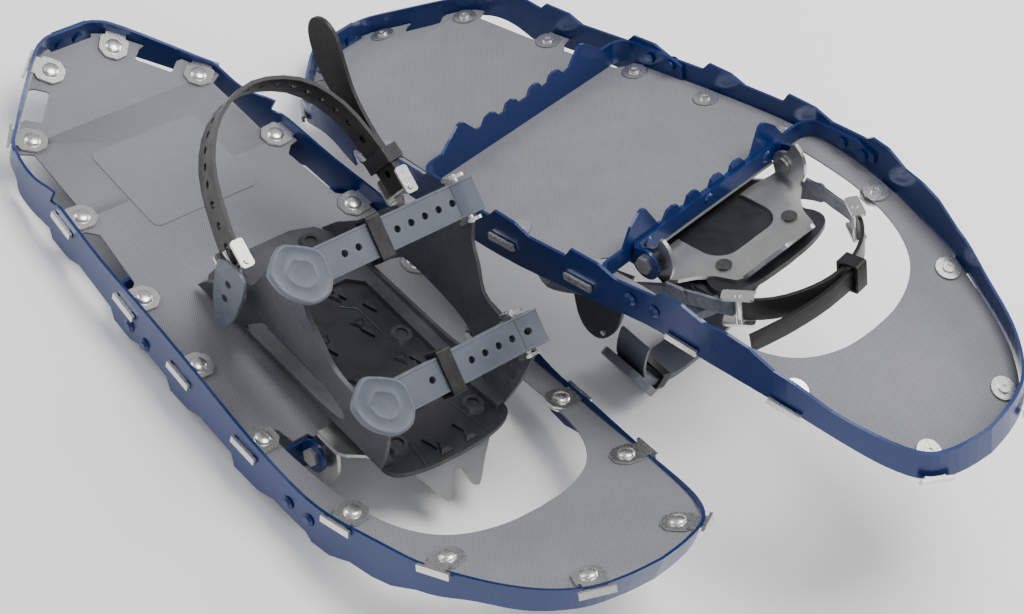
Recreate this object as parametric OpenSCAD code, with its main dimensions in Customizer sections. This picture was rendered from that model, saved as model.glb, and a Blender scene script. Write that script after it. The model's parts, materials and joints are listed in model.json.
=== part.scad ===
// A pair of aluminium-frame mountain snowshoes: one stands on its teeth, the other lies
// beside it upside down, leaning on its tail and its raised instep strap.
// Each shoe is drawn in its own frame: X from tail to toe, Y to the wearer's left,
// Z up, with Z = 0 on the deck. The world origin is under the middle of the pair.

/* [Frame rail] */
// Half of the shoe's greatest width, to the outer face of the rail
half_w = 101.5; // [96:0.5:106]
// Thickness of the rail blade
rail_t = 2; // [1.6:0.1:2.4]

/* [Deck] */
// Thickness of the coated deck fabric
deck_t = 1.2; // [0.8:0.1:1.6]
// Gap between the deck's edge and the rail
deck_gap = 1; // [0.6:0.1:2]
// Width of a deck clip's tab
clip_w = 19; // [16:0.5:21]

/* [Crossbars] */
// Thickness of the crossbars and of the pivot bracket
bar_t = 2.2; // [2:0.1:2.4]
// X of the rear crossbar
rear_bar_x = 164.5; // [160:0.5:168]
// X of the front crossbar
front_bar_x = 320.5; // [319:0.5:321]
// Depth of the end fangs below the deck
fang_z = 31; // [28:0.5:34]

/* [Crampon and pivot] */
// X of the pivot axis
pivot_x = 332.5; // [332:0.5:334]
// Depth of the pivot axis below the deck
pivot_z = 2.5; // [2:0.1:3]
// Radius of the pivot pins
pin_r = 3.5; // [3:0.1:4]
// Thickness of the crampon plate
crampon_t = 2.5; // [2:0.1:3]

/* [Binding] */
// Tilt of the foot plate, toe up, in degrees
plate_tilt = 3; // [2:0.5:4]
// Thickness of the foot plate
plate_t = 4; // [3:0.5:5]
// Width of the front and instep straps
strap_w = 24; // [20:1:26]
// Height of the toe strap above the deck on the upright shoe
toe_strap_z = 72; // [66:1:78]
// Height of the instep strap above the deck
instep_strap_z = 112; // [104:1:118]

/* [Pair] */
// Height of the upright shoe's deck above the ground
deck_height = 31; // [31:1:31]
// Where the upside-down shoe's own origin lies
second_pos = [63, 187, 28.55]; // [-200:1:300]
// How the upside-down shoe is turned about X, Y and Z, in degrees
second_turn = [-172, -20.4, 1.6]; // [-180:0.1:180]

/* [Hidden] */
origin = [-286.2, -97.3, 0];
blue = [0.11, 0.25, 0.55];
steel = [0.66, 0.66, 0.64];
nickel = [0.80, 0.80, 0.77];
deck_grey = [0.59, 0.60, 0.63];
slate = [0.29, 0.32, 0.36];
strap_grey = [0.45, 0.49, 0.54];
black = [0.16, 0.16, 0.17];
far = 400;

// ---- curves through hand-chosen points ----
function bend(a, b, c, d, t) =
    0.5 * (2 * b + (c - a) * t + (2 * a - 5 * b + 4 * c - d) * t * t
           + (3 * b - a - 3 * c + d) * t * t * t);
function smooth(p, n) =
    let (last = len(p) - 1)
    concat([for (i = [0 : last - 1], k = [0 : n - 1])
                bend(p[max(i - 1, 0)], p[i], p[i + 1], p[min(i + 2, last)], k / n)],
           [p[last]]);
function mirrored(p) = [for (i = [len(p) - 1 : -1 : 0]) [p[i][0], -p[i][1]]];

// Half outline of the rail's outer face, tail to toe
half_outline = [
    [-20, 0], [-20, 10], [-20, 16], [-18.2, 22], [-13, 31], [8, 53], [29, 73], [41, 82], [70, 86.5], [104, 90],
    [155, 94.5], [200, 98], [235, 100], [270, half_w - 0.3], [312, half_w], [350, 100.5],
    [385, 97.5], [415, 92.5], [446, 86.5], [470, 79], [492, 71], [509, 62.5], [522, 52],
    [530, 40], [535, 20], [537, 0]];
outline = concat(smooth(half_outline, 3), mirrored(smooth(half_outline, 3)));

// Side profile of the rail: top edge from tail to toe, then the stepped lower edge
rail_top = concat(
    smooth([[-24, 22], [-6, 17], [20, 9], [42, 3.5], [58, 1.5], [72, 4], [84, 9.5], [93, 13]], 3),
    [[91, 3.5]],
    smooth([[97, 5.5], [106, 8], [150, 8.5], [205, 13], [255, 13.5], [313, 10], [360, 9.5],
            [385, 14.5], [402, 20], [447, 34], [470, 45.5], [491, 57], [510, 68.5],
            [526, 79], [545, 90]], 3));
rail_foot = concat(
    [[545, 70]],
    smooth([[534, 65], [524, 58.5], [505, 45.5], [480, 32], [460, 18], [447, 11.5]], 3),
    [[431, -0.5], [418, -5.5], [402, -8], [388, -16], [374, -18], [368, -14.5]],
    [[340, -14.5], [326, -20], [304, -21.5], [299, -14]],
    [[268, -14], [256, -19], [238, -20.5], [232, -14]],
    [[206, -13.8], [193, -20], [175, -20.8], [169, -15]],
    [[131, -15], [120, -20.5], [100, -22], [95, -17]],
    smooth([[84, -19.5], [72, -22.3], [57, -22.2], [51, -15], [42, -12.5], [20, -9],
            [-6, -4], [-24, -1]], 3));

// Deck height along the shoe: level, with a kicked-up tail and a rising toe
deck_curve = smooth([[-19, 11.5], [0, 8], [22, 3], [42, 0], [120, 0], [240, 0], [300, 0],
                     [342, 3], [385, 12], [420, 23], [451, 35.5], [490, 55], [521, 73],
                     [537, 82]], 4);

// Clips, tail to toe: X, Y and heading
clips = [
    [-0.9, 25.1, 139], [40.3, 66.4, 130], [109.9, 77.5, 95], [183.9, 83.8, 94],
    [243.8, 87.4, 92], [309, 88.5, 90], [385.5, 84.3, 83], [449.8, 72, 74], [517.7, 35.7, 25]];
clip_reach = 13;
rivet_r = 2.4;
rivet_hole_r = 2.5;

function deck_z(x) = lookup(x, deck_curve);
function deck_slope(x) = atan((deck_z(x + 6) - deck_z(x - 6)) / 12);
// Heading that keeps a clip square to the upright rail on a sloping deck
function clip_heading(c) = atan2(sin(c[2]), cos(c[2]) * cos(deck_slope(c[0])));
// Distance from a clip's rivet to the rail's outer face, along the sloping clip
function rail_reach(c) = let (h = clip_heading(c))
    clip_reach / norm([cos(h) * cos(deck_slope(c[0])), sin(h)]);
module on_deck(c) {
    translate([c[0], c[1], deck_z(c[0])]) rotate([0, -deck_slope(c[0]), 0])
        rotate([0, 0, clip_heading(c)]) children();
}
module each_side() {
    children();
    mirror([0, 1, 0]) children();
}
module each_clip() {
    each_side() for (c = clips) on_deck(c) children();
}
module across(width) {
    rotate([90, 0, 0]) translate([0, 0, -width / 2]) linear_extrude(width) children();
}
module outline_inside(gap) {
    offset(delta = -gap) polygon(outline);
}

// ---- frame ----
module frame_rail() {
    color(blue) difference() {
        intersection() {
            translate([0, 0, -60]) linear_extrude(200) difference() {
                polygon(outline);
                outline_inside(rail_t);
            }
            across(far) polygon(concat(rail_top, rail_foot));
        }
        each_side() for (c = clips) on_deck(c)
            translate([rail_reach(c) - 2, 0, clip_gap + clip_t / 2])
                cube([7, neck_w + 0.6, clip_t + 0.6], center = true);
        each_side() for (x = arm_rivets) rail_hole(x);
        for (y = tail_rivet_y) translate([-20, y, tail_rivet_z]) rotate([0, 90, 0])
            cylinder(r = rivet_hole_r, h = 10, center = true, $fn = 24);
    }
}
arm_rivets = [[190.7, -10], [207.7, -10], [350.5, -5.5], [367.6, -3.5]];
tail_rivet_y = [-5, 9];
tail_rivet_z = 9;
lap_t = 1.9;
module rail_hole(p) {
    translate([p[0], half_w, p[1]]) rotate([90, 0, 0])
        cylinder(r = rivet_hole_r, h = 30, center = true, $fn = 24);
}
// The overlapped end of the rail blade, with the two rivets that close it
module tail_rivets() {
    color(blue) {
        for (y = tail_rivet_y) translate([-20.2, y, tail_rivet_z]) rotate([0, 90, 0]) {
            translate([0, 0, -lap_t - 1.8]) cylinder(r = 4.5, h = 1.8, $fn = 24);
            translate([0, 0, -lap_t]) cylinder(r = rivet_r, h = lap_t + rail_t + 0.3, $fn = 24);
            translate([0, 0, rail_t + 0.3]) cylinder(r = 4, h = 1.4, $fn = 24);
        }
        difference() {
            translate([-20.2 - lap_t, -11, -1]) cube([lap_t, 27, 20.5]);
            for (y = tail_rivet_y) translate([-20, y, tail_rivet_z]) rotate([0, 90, 0])
                cylinder(r = rivet_hole_r, h = 10, center = true, $fn = 24);
        }
    }
}

// A crossbar seen from above: a straight blade whose ends turn forward along the rail
module bar_plan(x, arm_end) {
    intersection() {
        difference() {
            offset(r = 12, $fn = 48) offset(delta = -12) bar_bay(x);
            offset(r = 12 - bar_t, $fn = 48) offset(delta = -12) bar_bay(x);
        }
        translate([x - bar_t, -far / 2]) square([arm_end - x + bar_t, far]);
    }
}
module bar_bay(x) {
    intersection() {
        outline_inside(rail_t);
        translate([x - bar_t / 2, -far / 2]) square([far, far]);
    }
}
// Front view of a crossbar, right half: blade, small hooked teeth, end fang and arm
function bar_edge(valley, tooth, arm_low) = [
    [0, valley], [4, valley], [6.5, tooth + 1.5], [10, tooth], [15, tooth + 1], [18, valley],
    [23, valley - 0.5], [25, tooth + 1.5], [28.5, tooth], [34, tooth + 1], [38, valley],
    [43, valley - 1], [52.5, 1 - fang_z], [55.5, -fang_z], [58.5, 1 - fang_z], [66, -24],
    [74, arm_low], [far, arm_low], [far, -1.3], [0, -1.3]];
module crossbar(x, arm_end, valley, tooth, arm_low) {
    intersection() {
        translate([0, 0, -60]) linear_extrude(80) bar_plan(x, arm_end);
        each_side() rotate([90, 0, 90]) linear_extrude(far + 200)
            polygon(bar_edge(valley, tooth, arm_low));
        across(far) polygon([[x - 5, 5], [x - 5, -fang_z - 5], [x + 30, -fang_z - 5],
                             [arm_end - 14, arm_low], [arm_end, arm_low + 5], [arm_end, 5]]);
    }
}
module rear_crossbar() {
    color(blue) difference() {
        crossbar(rear_bar_x, 217, -18, -24, -17);
        each_side() for (i = [0, 1]) rail_hole(arm_rivets[i]);
    }
}
module front_crossbar() {
    color(blue) difference() {
        crossbar(front_bar_x, 377, -12, -18, -12);
        each_side() for (i = [2, 3]) rail_hole(arm_rivets[i]);
        bracket_holes();
        deck_bolt_room();
    }
}
module deck_bolt_room() {
    each_side() on_deck(clips[5]) translate([0, 0, -5]) cylinder(r = 9, h = 5, $fn = 32);
}
// Domed rivets that hold the crossbar arms to the rail
module crossbar_rivets() {
    color(blue) each_side() for (p = arm_rivets) {
        y = rail_face_y(p[0]);
        translate([p[0], y, p[1]]) rotate([-90, 0, 0]) {
            translate([0, 0, 0.7]) cylinder(r1 = 4.4, r2 = 2.6, h = 1.8, $fn = 24);
            translate([0, 0, -rail_t - bar_t]) cylinder(r = rivet_r, h = rail_t + bar_t + 0.7, $fn = 24);
            translate([0, 0, -rail_t - bar_t - 2]) cylinder(r = 3.6, h = 1.5, $fn = 24);
        }
    }
}
function rail_face_y(x) = lookup(x, [for (p = half_outline) if (p[0] > 60 && p[0] < 500) p]);

bracket_rivet_y = 55;
bracket_rivet_z = -7;
bracket_x = front_bar_x + bar_t / 2;
module bracket_holes() {
    for (y = [-bracket_rivet_y, 0, bracket_rivet_y])
        translate([bracket_x, y, bracket_rivet_z]) rotate([0, 90, 0])
            cylinder(r = rivet_hole_r, h = 12, center = true, $fn = 24);
}
ear_y = 66;
ear_r = 10.5;
// Bracket on the front crossbar: a back plate, two S-bends and two round ears
module pivot_bracket() {
    color(blue) difference() {
        union() {
            translate([bracket_x, -60, -12]) cube([bar_t, 120, 10.6]);
            each_side() {
                ear_bend();
                translate([pivot_x, ear_y, -pivot_z]) rotate([-90, 0, 0])
                    cylinder(r = ear_r, h = bar_t, $fn = 48);
            }
        }
        bracket_holes();
        each_side() pivot_hole(pin_r + 0.02);
    }
}
module ear_bend() {
    translate([0, 0, -12]) linear_extrude(10.6)
        polygon([[bracket_x, 60], [bracket_x, 64.5], [bracket_x + 2.6, ear_y + bar_t],
                 [pivot_x, ear_y + bar_t], [pivot_x, ear_y], [bracket_x + 4.4, ear_y],
                 [bracket_x + bar_t, 63.4], [bracket_x + bar_t, 60]]);
}
module pivot_hole(r) {
    translate([pivot_x, 66, -pivot_z]) rotate([90, 0, 0]) cylinder(r = r, h = 30, center = true, $fn = 48);
}
module bracket_rivets() {
    color(blue) for (y = [-bracket_rivet_y, 0, bracket_rivet_y])
        translate([bracket_x + bar_t, y, bracket_rivet_z]) rotate([0, 90, 0]) {
            cylinder(r1 = 4, r2 = 2.8, h = 1.1, $fn = 24);
            translate([0, 0, -2 * bar_t]) cylinder(r = rivet_r, h = 2 * bar_t, $fn = 24);
            translate([0, 0, -2 * bar_t - 1.4]) cylinder(r = 3.6, h = 1.4, $fn = 24);
        }
}
flange_y = 62.4;
// Pivot pins: fixed in the ears, running in the crampon's flanges
module pivot_pins() {
    color(steel) each_side() translate([pivot_x, 0, -pivot_z]) rotate([-90, 0, 0]) {
        translate([0, 0, ear_y + bar_t]) cylinder(r = 6, h = 2.6, $fn = 6);
        translate([0, 0, flange_y - 3]) cylinder(r = pin_r, h = ear_y + bar_t - flange_y + 3, $fn = 48);
        translate([0, 0, flange_y - crampon_t - 2.4]) cylinder(r = 5.2, h = 2, $fn = 32);
    }
}

// ---- deck ----
// Toe opening in plan, half of it
bay_x = 324;
opening = smooth([[bay_x, 81.5], [345, 80.5], [372, 79.5], [398, 75.5], [418, 68.5], [433, 57.5],
                  [443, 42], [449, 22], [450.5, 0]], 4);
module deck_plan() {
    difference() {
        outline_inside(rail_t + deck_gap);
        each_side() {
            polygon(concat([[bay_x, -1], [bay_x, 60], [319, 62], [319, 73], [308, 75], [305, 78],
                            [308, 81.5]],
                           opening, [[450.5, -1]]));
            edge_slit([46, 79], [50, 71.5], [100, 73.5], [103, 81]);
            edge_slit([121, 82], [127, 75.5], [170, 80.5], [176, 88]);
            edge_slit([6, 42], [12, 34], [30, 52], [24, 60]);
        }
        polygon([[-25, -18], [-14, -15], [-14, 17], [-25, 20]]);
    }
}
// Cut-out along the rail between two clips
module edge_slit(a, b, c, d) {
    offset(r = 2, $fn = 24) offset(delta = -2) polygon([a, b, c, d, d + [0, 20], a + [-4, 20]]);
}
module deck() {
    color(deck_grey) difference() {
        intersection() {
            translate([0, 0, -30]) linear_extrude(200) deck_plan();
            across(far) polygon(concat(deck_curve, [for (i = [len(deck_curve) - 1 : -1 : 0])
                                                       deck_curve[i] - [0, deck_t]]));
        }
        each_clip() rivet_hole();
    }
}
// Plain sewn-on patch at the tail, without lettering
module label_patch() {
    color([0.66, 0.67, 0.70]) translate([72, -36, 0]) linear_extrude(0.5)
        offset(r = 5, $fn = 32) square([62, 72]);
}
module rivet_hole(h = 20) {
    cylinder(r = rivet_hole_r, h = h, center = true, $fn = 24);
}
// Clip: a tab on the deck, a neck through the rail and a bar outside it
module deck_clips() {
    color(nickel) each_side() for (c = clips) on_deck(c) difference() {
        lean = abs(tan(deck_slope(c[0])) * cos(c[2]));
        reach = rail_reach(c);
        union() {
            translate([0, 0, clip_gap]) linear_extrude(clip_t) offset(r = 3, $fn = 24)
                offset(delta = -3) polygon([
                    [-9.5, -4], [-4, -clip_w / 2], [clip_reach - 4.6, -clip_w / 2],
                    [clip_reach - 4.6, clip_w / 2], [-4, clip_w / 2], [-9.5, 4]]);
            translate([reach - 8, -neck_w / 2, clip_gap]) cube([9.5 + 2.4 * lean, neck_w, clip_t]);
            translate([reach + 0.6 + 2.4 * lean, -11, -2.4]) cube([2, 22, 4.6]);
        }
        rivet_hole();
    }
}
clip_gap = 0.5;
clip_t = 1.5;
neck_w = clip_w - 5.4;
module dome(r, h, base) {
    rotate_extrude($fn = 32) polygon(concat([[0, 0], [r, 0], [r, base]],
        [for (i = [1 : 6]) [r * cos(15 * i), base + (h - base) * sin(15 * i)]]));
}
module clip_rivets() {
    color(nickel) each_clip() {
        translate([0, 0, clip_gap + clip_t]) dome(5.5, 2.6, 0.5);
        translate([0, 0, -3.4]) cylinder(r = rivet_r, h = 3.4 + clip_gap + clip_t, $fn = 24);
        translate([0, 0, -deck_t - clip_gap - 2.4]) difference() {
            cylinder(r = 3.8, h = 1.4, $fn = 24);
            translate([0, 0, -1]) cylinder(r = 1.6, h = 2, $fn = 24);
        }
    }
}
module clip_washers() {
    color(nickel) each_clip() translate([0, 0, -deck_t - clip_gap - 1]) difference() {
        cylinder(r = 8, h = 1, $fn = 48);
        rivet_hole(5);
    }
}

// ---- binding, drawn level with its own origin on the pivot axis ----
module on_pivot() {
    translate([pivot_x, 0, -pivot_z]) rotate([0, -plate_tilt, 0]) children();
}
// A point given in the shoe's frame, seen from the tilted pivot frame
function local(p) = let (x = p[0] - pivot_x, z = p[1] + pivot_z, c = cos(plate_tilt), s = sin(plate_tilt))
    [x * c + z * s, z * c - x * s];
steel_z = 9.5;
plate_z = steel_z + crampon_t;
half_crampon = [[-9, 30], [-9, 40], [-6.5, 56], [-6.5, flange_y - 1], [13, flange_y - 1], [17, 58], [23, 49],
                [32, 41], [44, 36], [46.5, 31]];
module crampon_plan() {
    difference() {
        polygon(concat(half_crampon, mirrored(half_crampon)));
        translate([3, 0]) offset(r = 15, $fn = 48) square([16, 28], center = true);
        translate([-12, -18]) square([6, 36]);
        each_side() translate([29.5, 30.5]) circle(r = rivet_hole_r, $fn = 24);
    }
}
// Side flange: pivot boss and a long tooth that hooks back
flange_outline = concat(
    [[-6.5, steel_z + 0.5], [-8.3, 4], [-8.3, -1]],
    smooth([[-7, -5], [-3, -8], [2, -9.5], [5, -13], [7, -18.5]], 3),
    smooth([[9.5, -19], [14, -14.5], [16.8, -7], [16.5, 1], [13, steel_z + 0.5]], 3));
tooth_turn = 52;
tooth_outline = concat(smooth([[0, 32], [5, 30], [16, 22], [27, 15.5]], 3),
                       smooth([[30, 13], [29, 9.5], [22, 6.5], [14, 3.5], [12, 0]], 3));
module crampon() {
    color(steel) on_pivot() difference() {
        union() {
            translate([0, 0, steel_z]) linear_extrude(crampon_t) crampon_plan();
            each_side() translate([0, flange_y, 0]) rotate([90, 0, 0])
                linear_extrude(crampon_t) polygon(flange_outline);
            translate([46, 0, plate_z]) rotate([0, tooth_turn, 0]) translate([0, 0, -crampon_t])
                linear_extrude(crampon_t) polygon(concat(tooth_outline, mirrored(tooth_outline)));
        }
        rotate([90, 0, 0]) cylinder(r = pin_r + 0.05, h = far, center = true, $fn = 48);
    }
}

plate_outline = concat(
    smooth([[-143, 0], [-143, 26], [-138, 40], [-122, 46], [-90, 47.5], [-40, 47], [-8, 45],
            [14, 42], [24, 43], [34, 48], [43, 47.5], [49, 40], [53, 22], [54, 0]], 4));
studs = [[-84, 20], [-66, 30], [-50, 15], [-16, 26], [6, 18], [12, 32], [40, 12]];
// Moulded foot plate with raised studs
module foot_plate() {
    color(black) on_pivot() difference() {
        union() {
            translate([0, 0, plate_z]) linear_extrude(plate_t)
                polygon(concat(plate_outline, mirrored(plate_outline)));
            each_side() for (s = studs) translate([s[0], s[1], plate_z + plate_t])
                linear_extrude(2) polygon([[-5, -3.5], [5, 0], [-5, 3.5]]);
        }
        each_side() for (x = button_x) translate([x, button_y, 0]) rivet_hole(60);
    }
}
button_x = [29.5, -38, -128];
button_y = 30.5;
wall_t = 3;
base_z = plate_z + plate_t;
// Button rivets: the front pair also holds the crampon, the rear pair the cradle
module plate_rivets() {
    color(black) on_pivot() each_side() {
        button(button_x[0], steel_z, base_z);
        translate([button_x[0], button_y, steel_z - 1.5]) cylinder(r = 5, h = 1.5, $fn = 32);
        button(button_x[1], plate_z, base_z);
        button(button_x[2], plate_z, base_z + wall_t);
    }
}
module button(x, low, top) {
    translate([x, button_y, low]) cylinder(r = rivet_r, h = top - low, $fn = 24);
    translate([x, button_y, top]) difference() {
        cylinder(r1 = 8, r2 = 6.6, h = 2.6, $fn = 40);
        translate([0, 0, 1.2]) cylinder(r = 4, h = 3, $fn = 32);
    }
}

// Cradle: a base round the plate and two side wings that carry the straps.
// The arguments are the heights of a wing's instep and toe towers.
wing_tilt = 11;
wing_y = 48;
anchor_x = 240;
anchor_z = 50;
function wing_outline(hi, ht, tx) = concat(
    [[-138, base_z]],
    [for (p = smooth([[202, 18], [220, 36], [232, 56], [246, 63], [256, hi - 26], [262, hi - 11],
                      [270, hi - 2], [281, hi], [291, hi - 7], [298, hi - 22],
                      [max(304, tx - 53), ht + 6], [max(311, tx - 41), ht - 6], [tx - 24, ht - 9], [tx - 15, ht - 5], [tx - 6, ht],
                      [tx + 4, ht - 5], [tx + 10, max(19, ht - 14)],
                      [tx + 10, ht > 50 ? 35 : 17]], 3))
         local(p)],
    [[tx - pivot_x + 8, base_z]]);
wing_window = smooth([[240, 14], [254, 33], [266, 40], [311, 40], [334, 33], [332, 24], [308, 19],
                      [280, 17]], 3);
low_window = smooth([[240, 14], [254, 28], [266, 32], [304, 30], [318, 25], [308, 20], [280, 17]], 3);
module wing(hi, ht, tx) {
    translate([0, wing_y, base_z]) rotate([-wing_tilt, 0, 0]) translate([0, 0, -base_z])
        rotate([90, 0, 0]) translate([0, 0, -wall_t]) linear_extrude(wall_t) difference() {
            polygon(wing_outline(hi, ht, tx));
            polygon([for (p = ht > 50 ? wing_window : low_window) local(p)]);
        }
}
module cradle_base() {
    translate([0, 0, base_z]) linear_extrude(wall_t) difference() {
        polygon([[-144, -0.5], [-144, 26], [-139, 42], [-128, wing_y + 2], [38, wing_y + 2],
                 [39, 42], [18, 39.5], [-84, 39.5], [-92, 30], [-92, -0.5]]);
        translate([button_x[2], button_y]) circle(r = rivet_hole_r, $fn = 24);
    }
}
module cradle(hi, ht, tx, rivets) {
    color(slate) difference() {
        on_pivot() each_side() {
            cradle_base();
            wing(hi, ht, tx);
        }
        translate([anchor_x, 0, anchor_z]) rotate([90, 0, 0])
            cylinder(r = anchor_r + 0.02, h = far, center = true, $fn = 32);
        strap_holes(rivets);
    }
}
// Holes across the shoe for the strap rivets, each given by X and Z
module strap_holes(rivets) {
    for (p = rivets) translate([p[0], 0, p[1]]) rotate([90, 0, 0])
        cylinder(r = strap_rivet_r + 0.02, h = far, center = true, $fn = 24);
}
strap_rivet_r = 1.8;
anchor_r = 3;
// Pins on the wings that the heel strap's buckles swing on
module heel_anchors() {
    color(steel) each_side() translate([anchor_x, 0, anchor_z]) rotate([-90, 0, 0]) {
        translate([0, 0, 54]) cylinder(r = anchor_r, h = arm_y - 51.5, $fn = 32);
        translate([0, 0, arm_y + 2.3]) cylinder(r = 5, h = 1.1, $fn = 32);
    }
}
link_y = 62.8;

// ---- straps: a lower band riveted to both wings and an upper band with a paddle ----
band_t = 2.6;
fold_r = 4.4;
mid_gap = 2 * (fold_r - band_t);
toe_span = 53;
instep_span = 61.5;
strap_lean = 34;
toe_x = 363;
instep_x = 285;
tab = 16;
right_rivets = [[toe_x - 10 * sin(strap_lean), toe_strap_z - 10 * cos(strap_lean)],
                [instep_x - 10 * sin(strap_lean), instep_strap_z - 10 * cos(strap_lean)]];
function arc(cy, cz, r, a0, a1) =
    [for (i = [0 : 10]) let (a = a0 + (a1 - a0) * i / 10) [cy + r * cos(a), cz + r * sin(a)]];
// Section of a fastened strap: riveted tab, lower band, fold round the buckle, upper band
function strap_section(span, tab) =
    let (y1 = span - fold_r, mid = fold_r - band_t, cut = tab / 8) concat(
    [[-span, -tab], [-span + band_t, -tab], [-span + band_t, -band_t - cut],
     [-span + band_t + cut, -band_t]],
    arc(y1, mid, fold_r, -90, 90),
    [[-span - 8, mid + fold_r], [-span - 8, mid + fold_r - band_t]],
    arc(y1, mid, mid, 90, -90), [[-span + 2, 0], [-span, -2]]);
module strap_band() {
    rotate([90, 0, 90]) translate([0, 0, -strap_w / 2]) linear_extrude(strap_w) children();
}
module strap(span, tab, paddle_y) {
    difference() {
        strap_band() polygon(strap_section(span, tab));
        for (y = [-36, -24, 6, 18, 30, 42]) translate([0, y, 0])
            cylinder(r = 2.6, h = 30, center = true, $fn = 24);
    }
    translate([0, -paddle_y, mid_gap]) paddle();
}
module paddle() {
    linear_extrude(5.6) offset(r = 7, $fn = 40) offset(delta = -7)
        polygon([[-11, 22], [-19, 13], [-20, -8], [-13, -26], [13, -26], [20, -8], [19, 13],
                 [11, 22]]);
}
module at(x, z, lean) {
    translate([x, 0, z]) rotate([0, lean, 0]) children();
}
// Steel buckle: a bar in the strap's fold, two ears beside it and a foot on the wing
module buckle(span, foot) {
    translate([0, span - fold_r, fold_r - band_t]) rotate([0, 90, 0])
        cylinder(r = 1.75, h = strap_w + 7, center = true, $fn = 24);
    buckle_ears(span - 4);
    translate([-strap_w / 2 - 2.8, span + 0.4, -foot]) cube([strap_w + 5.6, 1.6, foot - 3]);
}
module buckle_ears(y) {
    for (s = [-1, 1]) translate([s * (strap_w / 2 + 1.8), y, 1]) rotate([0, 90, 0])
        linear_extrude(2, center = true) offset(r = 3, $fn = 24) square([7, 5], center = true);
}
module keeper(w, t) {
    rotate([90, 0, 0]) linear_extrude(10, center = true) difference() {
        offset(r = 1.6, $fn = 24) square([w + 1, t + 1], center = true);
        square([w + 0.8, t + 0.8], center = true);
    }
}
keeper_y = -11;
// Rivets through a strap's tab or a buckle's foot and the wing outside it
module strap_rivet(p, span, out, head) {
    translate([p[0], 0, p[1]]) each_side() rotate([-90, 0, 0]) {
        translate([0, 0, span - band_t - 1.2]) cylinder(r = strap_rivet_r, h = out + band_t + 1.2, $fn = 24);
        translate([0, 0, span - band_t - 1.2]) cylinder(r = head, h = 1.2, $fn = 24);
    }
}

// ---- upright shoe: straps in their worn shape, heel strap behind ----
module right_binding_cradle() { cradle(110, 71, toe_x, right_rivets); }
module right_toe_strap() {
    color(strap_grey) difference() {
        at(toe_x, toe_strap_z, strap_lean) strap(toe_span, tab, toe_span + 2);
        strap_holes(right_rivets);
    }
}
module right_instep_strap() {
    color(strap_grey) difference() {
        at(instep_x, instep_strap_z, strap_lean) strap(instep_span, tab, instep_span + 2);
        strap_holes(right_rivets);
    }
}
module right_toe_buckle() {
    color(nickel) difference() {
        at(toe_x, toe_strap_z, strap_lean) buckle(toe_span, 15);
        strap_holes(right_rivets);
    }
}
module right_instep_buckle() {
    color(nickel) difference() {
        at(instep_x, instep_strap_z, strap_lean) buckle(instep_span, 15);
        strap_holes(right_rivets);
    }
}
module right_toe_keeper() {
    color(black) at(toe_x, toe_strap_z, strap_lean) translate([0, keeper_y, fold_r - band_t])
        keeper(strap_w, 2 * fold_r);
}
module right_instep_keeper() {
    color(black) at(instep_x, instep_strap_z, strap_lean)
        translate([0, keeper_y, fold_r - band_t]) keeper(strap_w, 2 * fold_r);
}
module right_strap_rivets() {
    color(nickel) {
        strap_rivet(right_rivets[0], toe_span, 8, 3.6);
        strap_rivet(right_rivets[1], instep_span, 8, 3.6);
    }
}

// Loop of the fastened heel strap, seen along its band
heel_rise = 26;
heel_w = 20;
heel_t = 2.6;
band_y = link_y + 1.3;
heel_loop = smooth([[60, -band_y], [0, -band_y], [-30, -60], [-62, -50], [-86, -30], [-97, 0],
                    [-88, 32], [-64, 52], [-30, 61], [0, band_y], [60, band_y]], 3);
module loop_band(p, t, from, to) {
    intersection() {
        difference() {
            offset(delta = t / 2) polygon(p);
            offset(delta = -t / 2) polygon(p);
        }
        translate([from, -far / 2]) square([to - from, far]);
    }
}
module heel_frame() {
    translate([anchor_x - 5, 0, anchor_z + 18]) rotate([0, heel_rise, 0]) children();
}
module right_heel_strap() {
    color(black) heel_frame() {
        difference() {
            translate([0, 0, -heel_w / 2]) linear_extrude(heel_w)
                loop_band(heel_loop, heel_t, -120, -2);
            for (x = [-14, -27, -40]) translate([x, 0, 0]) rotate([90, 0, 0])
                cylinder(r = 2.4, h = far, center = true, $fn = 24);
        }
        // Doubled tail that ends in a broad paddle
        translate([-6, band_y + heel_t / 2 + 0.7, 0]) rotate([0, 0, 6]) rotate([90, 0, 0])
            translate([0, 0, -heel_t]) linear_extrude(heel_t) polygon(smooth([
                [0, -8], [-30, -10], [-56, -7], [-76, -6], [-92, -2], [-108, 8], [-113, 19],
                [-107, 28], [-95, 29], [-78, 20], [-58, 11], [-30, 7], [0, 8], [0, -8]], 3));
        // Pin that ties the tail to the band
        translate([-8, band_y, 0]) rotate([-90, 0, 0]) cylinder(r = 2, h = 4, $fn = 24);
    }
}
module right_heel_keeper() {
    color(black) heel_frame() translate([-24, 64.6, 0]) rotate([0, 0, 95]) rotate([0, 90, 0])
        keeper(heel_w + 1, 9.4);
}
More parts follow.
